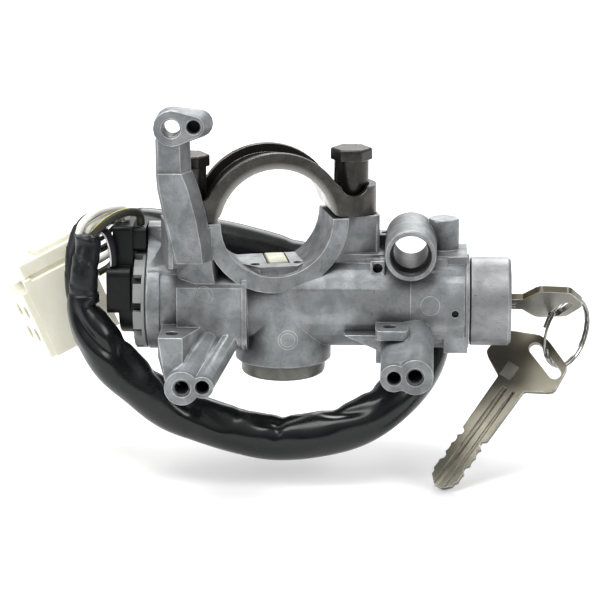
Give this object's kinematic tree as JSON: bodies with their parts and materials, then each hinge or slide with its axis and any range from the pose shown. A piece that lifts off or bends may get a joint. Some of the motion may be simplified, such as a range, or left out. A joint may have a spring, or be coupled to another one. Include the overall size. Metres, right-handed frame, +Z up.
{
  "type": "ignition switch and steering lock",
  "caption": "Cast steering-column lock with a curved strap and shear bolts, a keyed cylinder, a plug-in ignition switch, a sleeved harness with a white connector, and a ring with a spare key.",
  "frame": {"origin": "centre of the steering column's bore, in the middle of the saddle's width", "axes": "+X along the lock cylinder towards the key, +Y away from the viewer of the picture, +Z up towards the strap"},
  "size_m": [0.1989, 0.0728, 0.1296],
  "materials": {
    "casting": "blotchy as-cast",
    "dark_steel": "phosphated",
    "turned_metal": "turned",
    "spring_steel": "drawn",
    "brass": "plain",
    "pale_plastic": "moulded",
    "key_metal": "nickel-plated",
    "black_plastic": "moulded",
    "black_sleeve": "flexible sleeving",
    "black_tape": "wound tape",
    "connector_plastic": "translucent moulding",
    "white_wire": "extruded",
    "black_wire": "extruded"
  },
  "bodies": {
    "body": {"housing": "casting", "clamp_strap": "dark_steel", "shear_bolt_left": "dark_steel", "shear_bolt_right": "dark_steel", "lock_cylinder_case": "turned_metal", "retaining_pin": "spring_steel", "bolt_spring": "spring_steel", "bolt_cap": "turned_metal", "switch_base": "black_plastic", "switch_clip_ring": "pale_plastic", "harness_sleeve": "black_sleeve", "sleeve_tape": "black_tape", "harness_tail": "black_tape", "connector_body": "connector_plastic", "white_wire_1": "white_wire", "white_wire_2": "white_wire", "yellow_striped_wire": "black_wire", "white_striped_wire": "black_wire", "terminal_1": "brass", "terminal_2": "brass", "terminal_3": "brass", "terminal_4": "brass", "connector_wire_1": "black_wire", "connector_wire_2": "black_wire", "connector_wire_3": "black_wire", "connector_wire_4": "black_wire"},
    "rotor": {"lock_plug": "brass", "wafer_1": "brass", "wafer_2": "brass", "wafer_3": "brass", "wafer_4": "brass", "wafer_5": "brass", "wafer_6": "brass", "cam_shaft": "casting", "switch_rotor": "pale_plastic", "contact_plate": "brass"},
    "key": {"key_in_lock": "key_metal"},
    "ring": {"key_ring": "spring_steel"},
    "spare": {"spare_key": "key_metal"},
    "bolt": {"lock_bolt": "turned_metal"}
  },
  "joints": [
    {"name": "key_turn", "type": "hinge", "parent": "body", "child": "rotor", "pos_m": [0, 0.004, -0.0295], "axis": [-1, 0, 0], "range_deg": [0, 110]},
    {"name": "key_pull", "type": "slide", "parent": "rotor", "child": "key", "axis": [1, 0, 0], "range_m": [0, 0.045]},
    {"name": "ring_turn", "type": "hinge", "parent": "key", "child": "ring", "pos_m": [0.09842, 0.01862, -0.04385], "axis": [0.7708, -0.627, -0.1128], "range_deg": [-15, 20]},
    {"name": "spare_swing", "type": "hinge", "parent": "ring", "child": "spare", "pos_m": [0.09262, 0.01214, -0.05211], "axis": [-0.8122, -0.2541, -0.5251], "range_deg": [-10, 35]},
    {"name": "lock_bolt_slide", "type": "slide", "parent": "body", "child": "bolt", "axis": [0, 0, 1], "range_m": [0, 0.008], "deforming": ["bolt_spring"]}
  ]
}
